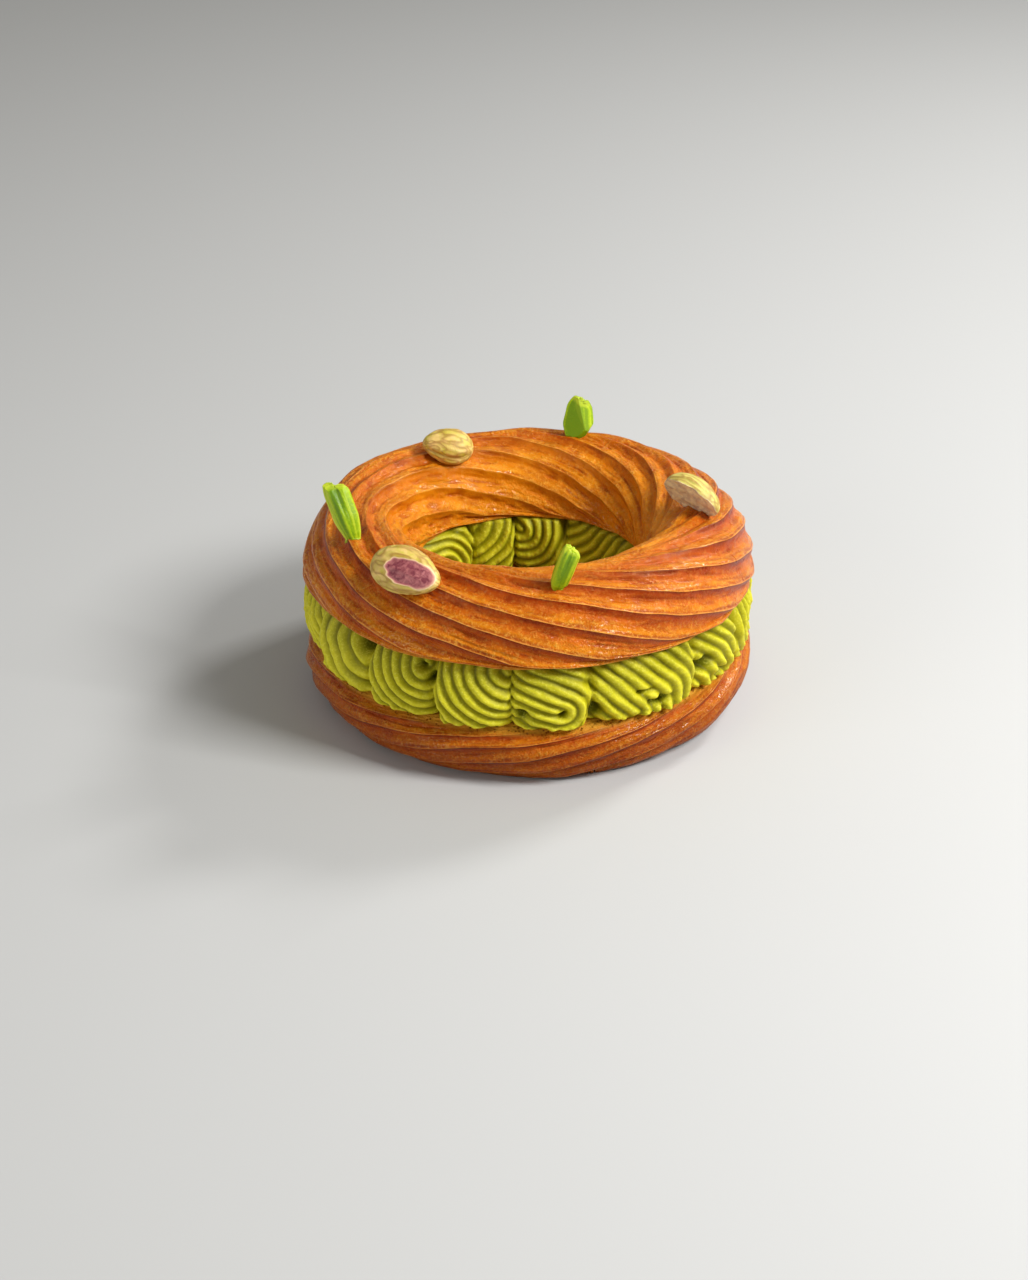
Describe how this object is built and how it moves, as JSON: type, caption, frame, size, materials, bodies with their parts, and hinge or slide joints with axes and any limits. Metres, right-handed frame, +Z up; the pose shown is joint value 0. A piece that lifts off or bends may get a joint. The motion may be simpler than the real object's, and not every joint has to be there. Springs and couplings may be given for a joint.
{
  "type": "paris brest pastry",
  "caption": "Round choux pastry ring, cut level and filled with piped pistachio cream swirls, with nut kernels and green nut slivers on its ridged lid.",
  "frame": {"origin": "middle of the flat underside of the base, on the ring's vertical axis", "axes": "+Z up along the ring's axis, -Y towards the front of the pastry as the picture shows it, +X to its right"},
  "size_m": [0.1031, 0.1026, 0.0555],
  "materials": {
    "choux_crust": "baked choux crust, golden brown with browned ridges and a thin glaze",
    "pistachio_cream": "soft piped pistachio cream, matte with a faint sheen",
    "kernel_skin": "dry wrinkled nut skin, pale yellow to tan with purple and brown patches",
    "green_nut": "bare split nut, bright green and slightly waxy"
  },
  "bodies": {
    "root": {"choux_base": "choux_crust", "choux_lid": "choux_crust", "pistachio_cream": "pistachio_cream", "kernel_front": "kernel_skin", "kernel_back": "kernel_skin", "kernel_right": "kernel_skin", "sliver_left": "green_nut", "sliver_back": "green_nut", "sliver_front": "green_nut"}
  },
  "joints": []
}
